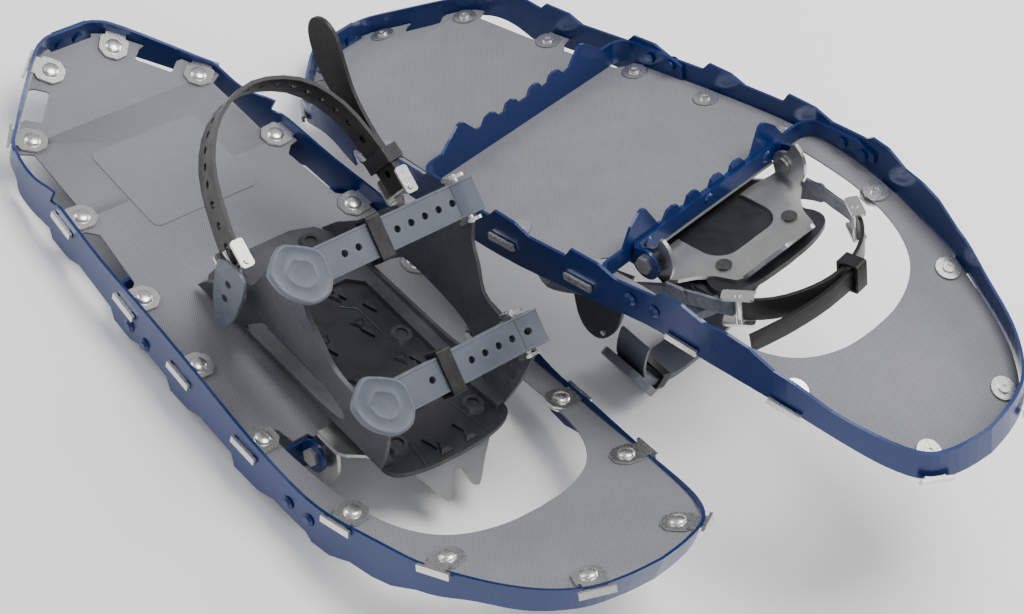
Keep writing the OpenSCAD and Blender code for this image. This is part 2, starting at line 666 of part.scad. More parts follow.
// Side link from an anchor to the end of the heel strap, with the bar that holds it
module heel_link(end) {
    difference() {
        translate([0, link_y + 2, 0]) rotate([90, 0, 0]) linear_extrude(2) difference() {
            hull() {
                translate([anchor_x, anchor_z]) circle(r = 6.5, $fn = 32);
                translate(end) circle(r = 1.95, $fn = 24);
            }
            translate([anchor_x, anchor_z]) circle(r = anchor_r + 0.05, $fn = 32);
        }
    }
}
module heel_bar() {
    heel_frame() translate([0, band_y, 0]) {
        cylinder(r = 2, h = heel_w + 8, center = true, $fn = 24);
        for (s = [-1, 1]) translate([-5, 0, s * (heel_w / 2 + 2)])
            linear_extrude(1.8, center = true) offset(r = 2, $fn = 20) square([14, 5], center = true);
    }
}
module right_inner_heel_buckle() {
    color(nickel) { heel_link([anchor_x - 5, anchor_z + 18]); heel_bar(); }
}
module right_outer_heel_buckle() {
    color(nickel) mirror([0, 1, 0]) {
        heel_link([anchor_x - 5, anchor_z + 18]);
        heel_bar();
        heel_frame() translate([-12, band_y + 2.7, 0]) rotate([0, 90, 0]) cylinder(r = 1.3, h = 12, $fn = 20);
    }
}
// Grey tail of the outer link, hanging with two holes
module right_heel_tail() {
    color(strap_grey) translate([0, -band_y - 4.55, 0]) rotate([90, 0, 0]) linear_extrude(2.4)
        difference() {
            polygon(smooth([[224, 68], [225, 50], [229, 34], [238, 20], [247, 34], [250, 52],
                            [249, 70], [236, 74], [224, 68]], 3));
            for (z = [46, 58]) translate([237, z]) circle(r = 2.6, $fn = 24);
        }
}

// ---- upside-down shoe: instep strap arched, toe strap flat, heel strap swung forward ----
left_toe_x = 345;
left_toe_z = 26;
left_toe_span = 46;
left_rivets = [[left_toe_x, left_toe_z - 5.6], [instep_x, 76]];
left_instep_lean = -20;
function across_dir(p, i) = let (d = p[min(i + 1, len(p) - 1)] - p[max(i - 1, 0)]) [-d[1], d[0]] / norm(d);
function ribbon(p, low, high) = concat(
    [for (i = [0 : len(p) - 1]) p[i] + across_dir(p, i) * high],
    [for (i = [len(p) - 1 : -1 : 0]) p[i] + across_dir(p, i) * low]);
arch = smooth([[-58.8, -64], [-58.8, -50], [-54, -32], [-38, -12], [-18, -2], [0, 0], [18, -2],
               [38, -12], [54, -32], [58.8, -50], [58.8, -64]], 4);
arch_top = 133.9;
module left_binding_cradle() { cradle(84, 28, left_toe_x, left_rivets); }
module left_toe_strap() {
    color(strap_grey) difference() {
        at(left_toe_x, left_toe_z, 0) strap(left_toe_span, 8, 36);
        strap_holes(left_rivets);
    }
}
module left_toe_buckle() {
    color(nickel) difference() {
        at(left_toe_x, left_toe_z, 0) buckle(left_toe_span, 7);
        strap_holes(left_rivets);
    }
}
module left_toe_keeper() {
    color(black) at(left_toe_x, left_toe_z, 0) translate([0, 6, fold_r - band_t])
        keeper(strap_w, 2 * fold_r);
}
module left_instep_place() {
    at(instep_x, arch_top, left_instep_lean) children();
}
module left_instep_strap() {
    n = len(arch);
    color(strap_grey) difference() {
        union() {
            left_instep_place() strap_band() polygon(ribbon(arch, -band_t, 0));
            left_instep_place() strap_band()
                polygon(ribbon([for (i = [8 : n - 9]) arch[i]], 0, band_t));
            left_instep_place() translate([0, -51, -28]) rotate([57, 0, 0])
                translate([0, 0, 1.4]) paddle();
        }
        strap_holes(left_rivets);
    }
}
module left_instep_buckle() {
    color(nickel) left_instep_place() translate([0, 48, -24]) rotate([-52, 0, 0]) {
        buckle_ears(0);
        translate([0, 0, 5.6]) rotate([0, 90, 0]) cylinder(r = 1.75, h = strap_w + 7, center = true, $fn = 24);
    }
}
module left_instep_keeper() {
    color(black) left_instep_place() translate([0, -31.5, -8.6]) rotate([31, 0, 0])
        keeper(strap_w, 2 * band_t + 2.6);
}
module left_strap_rivets() {
    color(nickel) {
        strap_rivet(left_rivets[0], left_toe_span, 6, 1.9);
        strap_rivet(left_rivets[1], 60.2, 5, 3.6);
    }
}
front_z = 11;
front_h = 15;
arm_y = 64.5;
front_loop = smooth([[260, -arm_y - 1], [346, -arm_y - 1], [370, -61], [392, -55], [410, -41],
                     [421, -19], [424, 4], [419, 26], [408, 44], [392, 56], [370, 62],
                     [346, arm_y + 1], [260, arm_y + 1]], 3);
module left_heel_strap() {
    color(black) {
        translate([0, 0, front_z - front_h / 2]) linear_extrude(front_h)
            loop_band(front_loop, heel_t, 396, 440);
        // Doubled tail that slopes away outside the loop
        translate([0, 14, front_z]) rotate([-6, 0, 0]) translate([0, -14, -6]) linear_extrude(12)
            polygon(ribbon(smooth([[428, 20], [427, -14], [422, -40], [417, -56], [413, -67]], 3),
                           -1.4, 2));
        translate([422, 4, front_z]) rotate([0, 90, 0]) cylinder(r = 2, h = 5.5, $fn = 24);
    }
}
module left_heel_keeper() {
    color(black) translate([425.4, 12, front_z]) rotate([0, 0, 5]) rotate([0, 90, 0])
        keeper(front_h + 1, 11);
}
// Arm from an anchor forward to the buckle beside the toe
module forward_arm() {
    translate([0, arm_y + 2, 0]) rotate([90, 0, 0]) linear_extrude(2) difference() {
        polygon(smooth([[231, 50], [240, 59], [262, 54], [300, 40], [346, 22], [360, 18], [360, 6],
                        [346, 9], [300, 26], [262, 38], [240, 41], [231, 50]], 3));
        translate([anchor_x, anchor_z]) circle(r = anchor_r + 0.05, $fn = 32);
    }
    translate([0, 0, front_z - 5]) linear_extrude(10) intersection() {
        difference() {
            offset(delta = 1) polygon(front_loop);
            offset(delta = -1) polygon(front_loop);
        }
        translate([346, 0]) square([45, far]);
    }
}
module front_bar(y_slope) {
    translate([393.5, 55.2, front_z]) rotate([0, 0, y_slope]) {
        cylinder(r = 2.2, h = front_h + 8, center = true, $fn = 24);
        for (s = [-1, 1]) translate([0, 0, s * (front_h / 2 + 2)])
            linear_extrude(1.8, center = true) offset(r = 2, $fn = 20) square([16, 5], center = true);
    }
}
module left_heel_tail() {
    color(slate) each_side() forward_arm();
}
module left_inner_heel_buckle() {
    color(nickel) front_bar(-35);
}
module left_outer_heel_buckle() {
    color(nickel) mirror([0, 1, 0]) translate([0, -0.9, 0]) front_bar(-32);
}

// ---- one part of a shoe, by name ----
COMMON = ["frame_rail", "tail_rivets", "rear_crossbar", "front_crossbar", "crossbar_rivets",
          "pivot_bracket", "bracket_rivets", "pivot_pins", "deck", "label_patch", "deck_clips",
          "clip_rivets", "clip_washers", "crampon", "foot_plate", "plate_rivets",
          "heel_anchors"];
WORN = ["binding_cradle", "toe_strap", "toe_buckle", "toe_keeper", "instep_strap",
        "instep_buckle", "instep_keeper", "strap_rivets", "heel_strap", "heel_keeper",
        "outer_heel_buckle", "inner_heel_buckle", "heel_tail"];

module right_shoe() {
    translate(origin + [0, 0, deck_height]) children();
}
module left_shoe() {
    translate(origin + second_pos) rotate(second_turn) mirror([0, 1, 0]) children();
}
right_shoe() frame_rail();  // right_frame_rail
right_shoe() tail_rivets();  // right_tail_rivets
right_shoe() rear_crossbar();  // right_rear_crossbar
right_shoe() front_crossbar();  // right_front_crossbar
right_shoe() crossbar_rivets();  // right_crossbar_rivets
right_shoe() pivot_bracket();  // right_pivot_bracket
right_shoe() bracket_rivets();  // right_bracket_rivets
right_shoe() pivot_pins();  // right_pivot_pins
right_shoe() deck();  // right_deck
right_shoe() label_patch();  // right_label_patch
right_shoe() deck_clips();  // right_deck_clips
right_shoe() clip_rivets();  // right_clip_rivets
right_shoe() clip_washers();  // right_clip_washers
right_shoe() crampon();  // right_crampon
right_shoe() foot_plate();  // right_foot_plate
right_shoe() plate_rivets();  // right_plate_rivets
right_shoe() heel_anchors();  // right_heel_anchors
right_shoe() right_binding_cradle();
right_shoe() right_toe_strap();
right_shoe() right_toe_buckle();
right_shoe() right_toe_keeper();
right_shoe() right_instep_strap();
right_shoe() right_instep_buckle();
right_shoe() right_instep_keeper();
right_shoe() right_strap_rivets();
right_shoe() right_heel_strap();
right_shoe() right_heel_keeper();
right_shoe() right_outer_heel_buckle();
right_shoe() right_inner_heel_buckle();
right_shoe() right_heel_tail();
left_shoe() frame_rail();  // left_frame_rail
left_shoe() tail_rivets();  // left_tail_rivets
left_shoe() rear_crossbar();  // left_rear_crossbar
left_shoe() front_crossbar();  // left_front_crossbar
left_shoe() crossbar_rivets();  // left_crossbar_rivets
left_shoe() pivot_bracket();  // left_pivot_bracket
left_shoe() bracket_rivets();  // left_bracket_rivets
left_shoe() pivot_pins();  // left_pivot_pins
left_shoe() deck();  // left_deck
left_shoe() label_patch();  // left_label_patch
left_shoe() deck_clips();  // left_deck_clips
left_shoe() clip_rivets();  // left_clip_rivets
left_shoe() clip_washers();  // left_clip_washers
left_shoe() crampon();  // left_crampon
left_shoe() foot_plate();  // left_foot_plate
left_shoe() plate_rivets();  // left_plate_rivets
left_shoe() heel_anchors();  // left_heel_anchors
left_shoe() left_binding_cradle();
left_shoe() left_toe_strap();
left_shoe() left_toe_buckle();
left_shoe() left_toe_keeper();
left_shoe() left_instep_strap();
left_shoe() left_instep_buckle();
left_shoe() left_instep_keeper();
left_shoe() left_strap_rivets();
left_shoe() left_heel_strap();
left_shoe() left_heel_keeper();
left_shoe() left_outer_heel_buckle();
left_shoe() left_inner_heel_buckle();
left_shoe() left_heel_tail();
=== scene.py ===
import json
import math

import bmesh
import bpy
from mathutils import Matrix, Vector


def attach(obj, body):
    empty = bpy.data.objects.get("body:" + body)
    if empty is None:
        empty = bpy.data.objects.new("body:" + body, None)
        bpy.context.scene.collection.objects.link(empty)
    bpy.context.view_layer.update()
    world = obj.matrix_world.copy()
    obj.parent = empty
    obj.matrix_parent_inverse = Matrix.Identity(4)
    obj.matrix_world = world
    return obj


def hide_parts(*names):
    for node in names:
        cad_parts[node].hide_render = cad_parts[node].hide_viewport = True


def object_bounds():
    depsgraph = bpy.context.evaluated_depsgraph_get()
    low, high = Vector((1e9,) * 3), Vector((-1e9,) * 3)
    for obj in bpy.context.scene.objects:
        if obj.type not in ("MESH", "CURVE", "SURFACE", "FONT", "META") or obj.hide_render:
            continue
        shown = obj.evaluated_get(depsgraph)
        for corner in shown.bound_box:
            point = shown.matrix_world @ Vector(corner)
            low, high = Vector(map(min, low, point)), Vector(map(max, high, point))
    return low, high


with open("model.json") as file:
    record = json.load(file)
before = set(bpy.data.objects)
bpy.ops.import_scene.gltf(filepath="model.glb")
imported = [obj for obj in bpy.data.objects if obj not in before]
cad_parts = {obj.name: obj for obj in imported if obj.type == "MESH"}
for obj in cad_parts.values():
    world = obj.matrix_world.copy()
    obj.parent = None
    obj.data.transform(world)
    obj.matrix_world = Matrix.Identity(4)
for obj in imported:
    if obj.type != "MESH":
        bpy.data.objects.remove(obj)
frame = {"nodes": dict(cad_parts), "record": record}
CAD_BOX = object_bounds()
JOINTS = {j["name"]: j for j in frame["record"]["behaviour"]["joints"]}
SIDES = ("right", "left")
MM = 0.001
CAMERA_PLACE = Vector((0.6743, -0.9634, 1.2209))
FRAMING_STEP = (0.009, 0.005)  # metres right and up, so that both shoes' toes are in the picture

# ---- camera, lights, floor ----
cam = bpy.data.objects.new("camera", bpy.data.cameras.new("camera"))
bpy.context.collection.objects.link(cam)
bpy.context.scene.camera = cam
cam.data.sensor_width = 36
cam.data.lens = 92.5
cam.data.clip_end = 20
right_dir = Vector((0.6464, 0.7253, 0.2366)).normalized()
back_dir = Vector((0.3923, -0.5819, 0.7123)).normalized()
up_dir = back_dir.cross(right_dir).normalized()
right_dir = up_dir.cross(back_dir).normalized()
cam.matrix_world = Matrix.Translation(
    CAMERA_PLACE + FRAMING_STEP[0] * right_dir + FRAMING_STEP[1] * up_dir) @ Matrix(
    (right_dir, up_dir, back_dir)).transposed().to_4x4()


def light(name, place, target, size, power, colour):
    lamp = bpy.data.lights.new(name, "AREA")
    lamp.shape, lamp.size, lamp.size_y = "RECTANGLE", size[0], size[1]
    lamp.energy, lamp.color = power, colour
    o = bpy.data.objects.new(name, lamp)
    bpy.context.collection.objects.link(o)
    o.location = place
    o.rotation_euler = (Vector(target) - Vector(place)).to_track_quat("-Z", "Y").to_euler()


light("top_softbox", (0.1, 0.35, 1.9), (0, 0, 0.05), (1.3, 1.0), 40, (1, 0.985, 0.96))
light("left_softbox", (-1.5, -0.9, 1.1), (0, 0, 0.05), (0.8, 1.0), 16, (0.96, 0.98, 1))
light("back_softbox", (0.4, 1.7, 0.9), (0, 0, 0.05), (1.4, 0.6), 22, (1, 1, 1))
light("front_fill", (1.5, -1.3, 0.9), (0, 0, 0.05), (1.0, 0.8), 7, (1, 1, 1))
world = bpy.data.worlds.new("studio")
bpy.context.scene.world = world
world.use_nodes = True
world.node_tree.nodes["Background"].inputs[0].default_value = (0.93, 0.95, 1, 1)
world.node_tree.nodes["Background"].inputs[1].default_value = 0.42


# ---- materials: every one procedural ----
class Mat:
    def __init__(self, name):
        self.m = bpy.data.materials.new(name)
        self.m.use_nodes = True
        self.t = self.m.node_tree
        self.b = self.t.nodes["Principled BSDF"]
        self.coord = self.t.nodes.new("ShaderNodeTexCoord").outputs["Object"]

    def node(self, kind, **inputs):
        n = self.t.nodes.new(kind)
        for k, v in inputs.items():
            k = k.replace("_", " ")
            if isinstance(v, bpy.types.NodeSocket):
                self.t.links.new(v, n.inputs[k])
            else:
                n.inputs[k].default_value = v
        return n

    def noise(self, scale, detail=4.0, rough=0.55, stretch=None):
        vec = self.coord
        if stretch:
            mp = self.node("ShaderNodeMapping", Vector=vec)
            mp.inputs["Scale"].default_value = stretch
            vec = mp.outputs[0]
        n = self.node("ShaderNodeTexNoise", Vector=vec, Scale=scale, Detail=detail, Roughness=rough)
        return n.outputs[0]

    def ramp(self, fac, stops):
        n = self.node("ShaderNodeValToRGB", Fac=fac)
        e = n.color_ramp.elements
        while len(e) < len(stops):
            e.new(0.5)
        for i, (p, c) in enumerate(stops):
            e[i].position = p
            e[i].color = (*c, 1) if len(c) == 3 else c
        return n.outputs[0]

    def mix(self, fac, a, b):
        n = self.t.nodes.new("ShaderNodeMix")
        n.data_type = "RGBA"
        for k, v in ((0, fac), (6, a), (7, b)):
            if isinstance(v, bpy.types.NodeSocket):
                self.t.links.new(v, n.inputs[k])
            else:
                n.inputs[k].default_value = v if k == 0 else (*v, 1)
        return n.outputs[2]

    def math(self, op, a, b=0.5):
        n = self.t.nodes.new("ShaderNodeMath")
        n.operation = op
        for k, v in ((0, a), (1, b)):
            if isinstance(v, bpy.types.NodeSocket):
                self.t.links.new(v, n.inputs[k])
            else:
                n.inputs[k].default_value = v
        return n.outputs[0]

    def bump(self, *layers):
        normal = None
        for height, strength, distance in layers:
            n = self.node("ShaderNodeBump", Height=height, Strength=strength, Distance=distance)
            if normal:
                self.t.links.new(normal, n.inputs["Normal"])
            normal = n.outputs[0]
        self.t.links.new(normal, self.b.inputs["Normal"])

    def set(self, **inputs):
        for k, v in inputs.items():
            k = k.replace("_", " ")
            if isinstance(v, bpy.types.NodeSocket):
                self.t.links.new(v, self.b.inputs[k])
            else:
                self.b.inputs[k].default_value = v

    def wear(self, most):
        """Up to most on convex edges, broken up by noise."""
        point = self.t.nodes.new("ShaderNodeNewGeometry").outputs["Pointiness"]
        edge = self.ramp(point, [(0.52, (0, 0, 0)), (0.60, (1, 1, 1))])
        return self.math("MULTIPLY", edge, self.ramp(self.noise(260), [(0.42, (0, 0, 0)), (0.62, (most,) * 3)]))


def painted_blue():
    """Satin paint on the rail, with a thin clear coat and fine scuffs."""
    m = Mat("frame_blue")
    tone = m.ramp(m.noise(9), [(0.3, (0.0035, 0.019, 0.105)), (0.7, (0.0045, 0.024, 0.128))])
    scuff = m.ramp(m.noise(700, 8, 0.75, (1, 6, 1)), [(0.66, (0, 0, 0)), (0.80, (0.35,) * 3)])
    m.set(Base_Color=m.mix(scuff, tone, (0.05, 0.085, 0.20)), Metallic=0.30,
          Roughness=m.ramp(m.noise(60), [(0.3, (0.27,) * 3), (0.7, (0.33,) * 3)]))
    m.set(Coat_Weight=0.30, Coat_Roughness=0.10)
    m.bump((m.noise(900, 2), 0.08, 0.0002), (m.noise(120, 5), 0.05, 0.0003))
    return m.m


def steel(name, low, high, rough, tint):
    """Brushed metal between two greys, with fine scratches."""
    m = Mat(name)
    grain = m.noise(300, 6, 0.7, (1, 9, 1))
    tone = m.ramp(m.noise(40, 6), [(0.3, tuple(low * t for t in tint)), (0.7, tuple(high * t for t in tint))])
    scratch = m.ramp(m.noise(900, 8, 0.8, (1, 7, 1)), [(0.64, (0, 0, 0)), (0.80, (0.25,) * 3)])
    m.set(Base_Color=m.mix(scratch, tone, (0.35, 0.34, 0.33)), Metallic=0.95,
          Roughness=m.ramp(grain, [(0.3, (rough - 0.07,) * 3), (0.7, (rough + 0.08,) * 3)]))
    m.bump((grain, 0.03, 0.0001), (m.noise(70, 4), 0.03, 0.0003))
    return m.m


def moulded(name, dark, pale, rough, sheen=0.0, dusty=0.10, edges=0.30):
    """Moulded rubber or plastic: mottled between two tones, dusty in patches, paler along its edges."""
    m = Mat(name)
    tone = m.ramp(m.noise(34, 6, 0.6), [(0.3, dark), (0.7, pale)])
    dust = m.ramp(m.noise(9, 6, 0.7), [(0.45, (0, 0, 0)), (0.75, (dusty,) * 3)])
    dusted = m.mix(dust, tone, (0.45, 0.46, 0.48))
    m.set(Base_Color=m.mix(m.wear(edges), dusted, tuple(2.1 * c + 0.05 for c in pale)),
          Roughness=m.ramp(m.noise(150, 5), [(0.3, (rough - 0.07,) * 3), (0.7, (rough + 0.08,) * 3)]))
    m.set(Specular_IOR_Level=0.42, Sheen_Weight=sheen, Sheen_Roughness=0.5)
    m.bump((m.noise(1100, 3), 0.22, 0.00025), (m.noise(60, 4), 0.10, 0.0005))
    return m.m


def woven(name, low, high, pitch=0.0012):
    """Plain weave of coated yarn, pitch metres apart, from two crossed sets of waves along the shoe."""
    m = Mat(name)
    uv = m.t.nodes.new("ShaderNodeUVMap")
    uv.uv_map = "shoe"
    rot = m.node("ShaderNodeMapping", Vector=uv.outputs[0])
    rot.inputs["Rotation"].default_value = (0, 0, math.radians(45))
    sep = m.node("ShaderNodeSeparateXYZ", Vector=rot.outputs[0])
    k = math.pi / pitch
    sx = m.math("SINE", m.math("MULTIPLY", sep.outputs[0], k))
    sy = m.math("SINE", m.math("MULTIPLY", sep.outputs[1], k))
    over = m.math("MULTIPLY", sx, sy)
    yarn = m.math("ABSOLUTE", over)
    lift = m.math("ADD", m.math("MULTIPLY", over, 0.25), m.math("POWER", yarn, 0.5))
    tone = m.ramp(m.noise(22, 6, 0.65), [(0.3, low), (0.7, high)])
    # The gaps between the yarns are painted darker: painted shade in the weave's recesses.
    dark = tuple(0.42 * c for c in low)
    fac = m.ramp(yarn, [(0.0, (1, 1, 1)), (0.35, (0, 0, 0))])
    coloured = m.mix(fac, tone, dark)
    dusted = m.mix(m.ramp(m.noise(7, 6, 0.7), [(0.45, (0, 0, 0)), (0.8, (0.08,) * 3)]), coloured,
                   (0.52, 0.52, 0.53))
    m.set(Base_Color=dusted, Roughness=m.ramp(m.noise(90), [(0.3, (0.50,) * 3), (0.7, (0.64,) * 3)]))
    m.set(Specular_IOR_Level=0.45, Sheen_Weight=0.08, Sheen_Roughness=0.5)
    m.bump((lift, 0.55, 0.00035), (m.noise(35, 4), 0.06, 0.0012))
    return m.m


MATS = {
    "frame_blue": painted_blue(),
    "steel": steel("steel", 0.42, 0.56, 0.34, (1, 1, 0.98)),
    "nickel": steel("nickel", 0.70, 0.78, 0.27, (1, 0.99, 0.96)),
    "deck_fabric": woven("deck_fabric", (0.190, 0.194, 0.214), (0.222, 0.226, 0.248)),
    "patch": woven("patch", (0.205, 0.209, 0.228), (0.236, 0.240, 0.260), 0.0007),
    "plate_black": moulded("plate_black", (0.007, 0.0075, 0.009), (0.013, 0.014, 0.017), 0.44, dusty=0.03),
    "button_black": moulded("button_black", (0.010, 0.010, 0.011), (0.020, 0.020, 0.022), 0.36),
    "cradle_slate": moulded("cradle_slate", (0.024, 0.027, 0.034), (0.037, 0.041, 0.050), 0.46, 0.04),
    "strap_grey": moulded("strap_grey", (0.072, 0.083, 0.106), (0.096, 0.109, 0.136), 0.42, 0.04),
    "keeper_black": moulded("keeper_black", (0.006, 0.006, 0.0065), (0.012, 0.012, 0.013), 0.38, dusty=0.02),
    "heel_black": moulded("heel_black", (0.006, 0.0055, 0.0055), (0.012, 0.011, 0.011), 0.38, 0.03, dusty=0.02),
}
# A near-black material for the discs of painted shade inside the strap holes.
HOLE_SHADOW = moulded("hole_shadow", (0.004, 0.004, 0.005), (0.010, 0.010, 0.012), 0.7, edges=0.0)
for sub in frame["record"]["subparts"]:
    data = frame["nodes"][sub["node"]].data
    data.materials.clear()
    data.materials.append(MATS[sub["material_slot"]])

floor_mesh = bpy.data.meshes.new("floor")
floor_mesh.from_pydata([(-6, -6, 0), (6, -6, 0), (6, 6, 0), (-6, 6, 0)], [], [(0, 1, 2, 3)])
floor = bpy.data.objects.new("floor", floor_mesh)
bpy.context.collection.objects.link(floor)
floor.location.z = CAD_BOX[0].z
fm = Mat("floor")
fm.set(Base_Color=fm.ramp(fm.noise(3), [(0.3, (0.92, 0.92, 0.92)), (0.7, (0.94, 0.94, 0.94))]), Roughness=0.9)
floor_mesh.materials.append(fm.m)

# ---- the shoe's own frame, in millimetres, from the record's hinges ----
PIVOT = Vector((332.5, 0, -2.5))
ANCHOR = Vector((240, 0, 50))
TILT = math.radians(3)


def shoe_matrix(side):
    s = 1 if side == "right" else -1
    a, b = JOINTS[side + "_binding_hinge"], JOINTS[side + "_heel_swing"]
    y = s * Vector(a["axis"]).normalized()
    p, q = Vector(a["pos_m"]), Vector(b["pos_m"])
    u = (q - p).normalized()
    v = s * y.cross(u)
    d = (ANCHOR - PIVOT).normalized()
    x, z = d.x * u + d.z * v, d.z * u - d.x * v
    m = Matrix((x, y, z)).transposed() * MM
    return Matrix.Translation(p - m @ PIVOT) @ m.to_4x4()


SHOE = {s: shoe_matrix(s) for s in SIDES}


def from_plate(x, y, z):
    """A point in the binding's tilted frame, in the shoe's."""
    c, s = math.cos(TILT), math.sin(TILT)
    return Vector((PIVOT.x + x * c - z * s, y, PIVOT.z + z * c + x * s))


def finish_piece(name, side, bm, slot, body, replaced=(), mats=None, smooth=True):
    """bm is in the shoe's millimetres; the piece's mesh is in the row frame."""
    me = bpy.data.meshes.new(name)
    uv = bm.loops.layers.uv.verify()
    for f in bm.faces:
        for lp in f.loops:
            lp[uv].uv = (lp.vert.co.x * MM, lp.vert.co.y * MM)
    for v in bm.verts:
        v.co = SHOE[side] @ v.co
    bmesh.ops.recalc_face_normals(bm, faces=bm.faces)
    bm.to_mesh(me)
    bm.free()
    me.uv_layers[0].name = "shoe"
    for m in mats or [MATS[slot]]:
        me.materials.append(m)
    if smooth:
        me.shade_smooth()
    o = bpy.data.objects.new(name, me)
    bpy.context.collection.objects.link(o)
    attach(o, body)
    if replaced:
        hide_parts(*replaced)
    return o


def from_cad(node):
    """The CAD node's faces, welded, with its flat triangles joined, in the shoe's millimetres."""
    side = node.split("_")[0]
    bm = bmesh.new()
    bm.from_mesh(frame["nodes"][node].data)
    inv = SHOE[side].inverted() @ frame["nodes"][node].matrix_world
    for v in bm.verts:
        v.co = inv @ v.co
    bmesh.ops.remove_doubles(bm, verts=bm.verts, dist=0.004)
    bmesh.ops.dissolve_limit(bm, angle_limit=math.radians(1.5), verts=bm.verts, edges=bm.edges)
    return bm


def rounded(node, slot, body, radius):
    """A moulded piece in the CAD node's place, with its edges rounded to radius, in millimetres."""
    side = node.split("_")[0]
    o = finish_piece(node + "_moulded", side, from_cad(node), slot, body, [node])
    bev = o.modifiers.new("edges", "BEVEL")
    bev.width, bev.segments, bev.limit_method = radius * MM, 2, "ANGLE"
    bev.angle_limit = math.radians(32)
    bev.use_clamp_overlap = True
    bev.harden_normals = False
    wn = o.modifiers.new("normals", "WEIGHTED_NORMAL")
    wn.keep_sharp = False
    return o


def leaned(x, z, lean):
    """From a strap's own frame, X towards the toe, Y across, Z outwards, to the shoe's."""
    return Matrix.Translation((x, 0, z)) @ Matrix.Rotation(math.radians(lean), 4, "Y")


def curved(points, step=2.0):
    """A smooth line of even steps through points of any dimension."""
    p = [Vector(q) for q in points]
    p = [2 * p[0] - p[1]] + p + [2 * p[-1] - p[-2]]
    out = []
    for a, b, c, d in zip(p, p[1:], p[2:], p[3:]):
        n = max(1, round((c - b).length / step))
        for i in range(n):
            t = i / n
            out.append(0.5 * (2 * b + (c - a) * t + (2 * a - 5 * b + 4 * c - d) * t * t
                              + (3 * b - a - 3 * c + d) * t ** 3))
    return out + [p[-2]]


def band_profile(w, t, rim):
    """A moulded strap's section: rounded corners, and a raised bead along both edges of its face."""
    h, k = w / 2, t / 2
    return [(-h, -k + 0.4), (-h + 0.4, -k), (h - 0.4, -k), (h, -k + 0.4), (h, k + rim - 0.3),
            (h - 0.35, k + rim), (h - 1.2, k + rim), (h - 1.6, k), (-h + 1.6, k), (-h + 1.2, k + rim),
            (-h + 0.35, k + rim), (-h, k + rim - 0.3)]


def sweep(bm, line, profile, place):
    """A band along line, (y, z) points, with its width along X; its face is on the line's right-hand side."""
    rings = []
    for i, p in enumerate(line):
        d = (line[min(i + 1, len(line) - 1)] - line[max(i - 1, 0)]).normalized()
        n = Vector((d[1], -d[0]))
        rings.append([bm.verts.new(place @ Vector((u, p[0] + n[0] * v, p[1] + n[1] * v))) for u, v in profile])
    for a, b in zip(rings, rings[1:]):
        for i in range(len(a)):
            j = (i + 1) % len(a)
            bm.faces.new((a[i], a[j], b[j], b[i]))
    bm.faces.new(rings[0])
    bm.faces.new(list(reversed(rings[-1])))


def rod(bm, centre, direction, r, length, sides=24, squash=(1, 1)):
    """A round or oval bar about centre, in the shoe's millimetres: a hole's cutter, or a near-black disc of
    painted shade inside a hole.
    """
    d = direction.normalized()
    a = d.orthogonal().normalized() if abs(d.y) > 0.9 else d.cross(Vector((0, 1, 0))).normalized()
    c = d.cross(a)
    rings = [[bm.verts.new(centre + d * k * length / 2 + (a * math.cos(t) * squash[0]
              + c * math.sin(t) * squash[1]) * r)
              for t in (2 * math.pi * i / sides for i in range(sides))] for k in (-1, 1)]
    for i in range(sides):
        j = (i + 1) % sides
        bm.faces.new((rings[0][i], rings[0][j], rings[1][j], rings[1][i]))
    bm.faces.new(list(reversed(rings[0])))
    bm.faces.new(rings[1])


def cut(o, cutter_bm, side):
    """Cuts the closed shapes in cutter_bm out of piece o."""
    for v in cutter_bm.verts:
        v.co = SHOE[side] @ v.co
    bmesh.ops.recalc_face_normals(cutter_bm, faces=cutter_bm.faces)
    me = bpy.data.meshes.new("cutter")
    cutter_bm.to_mesh(me)
    cutter_bm.free()
    c = bpy.data.objects.new("cutter", me)
    bpy.context.collection.objects.link(c)
    mod = o.modifiers.new("holes", "BOOLEAN")
    mod.operation, mod.solver, mod.object = "DIFFERENCE", "EXACT", c
    dg = bpy.context.evaluated_depsgraph_get()
    new = bpy.data.meshes.new_from_object(o.evaluated_get(dg))
    o.modifiers.clear()
    o.data = new
    bpy.data.objects.remove(c)
    new.shade_smooth()
    new.set_sharp_from_angle(angle=math.radians(38))


def loops(bm, rings, place):
    """A closed body through rings of (x, y, z) points, in a strap's frame."""
    vs = [[bm.verts.new(place @ Vector(p)) for p in r] for r in rings]
    for a, b in zip(vs, vs[1:]):
        for i in range(len(a)):
            j = (i + 1) % len(a)
            bm.faces.new((a[i], a[j], b[j], b[i]))
    bm.faces.new(list(reversed(vs[0])))
    bm.faces.new(vs[-1])


def paddle(bm, place, y, z):
    """The strap end's pull: a rounded hexagon with a raised lip round a shallow dish."""
    corners = [(10.7, 18), (-7, 17.5), (-18, 0), (-18.5, -8), (-9.5, -18.5), (-4, -20), (8, -15),
               (18.5, -1), (17.5, 12)]
    line = curved(corners + corners[:1], 1.5)[:-1]
    mean = [(Vector(line[i - 1]) * 0.25 + Vector(line[i]) * 0.5 + Vector(line[(i + 1) % len(line)]) * 0.25)
            for i in range(len(line))]

    def ring(inset, height):
        return [(p.x * (1 - inset / 18), y + p.y * (1 - inset / 18), z + height) for p in mean]
    loops(bm, [ring(0.9, 0), ring(0, 0.9), ring(0, 3.6), ring(0.5, 4.5), ring(1.2, 4.8), ring(2.2, 4.6),
               ring(3.0, 4.25), ring(9, 4.45), ring(9.4, 4.6), ring(9.8, 4.6), ring(10.2, 4.45), ring(16, 4.5)],
          place)


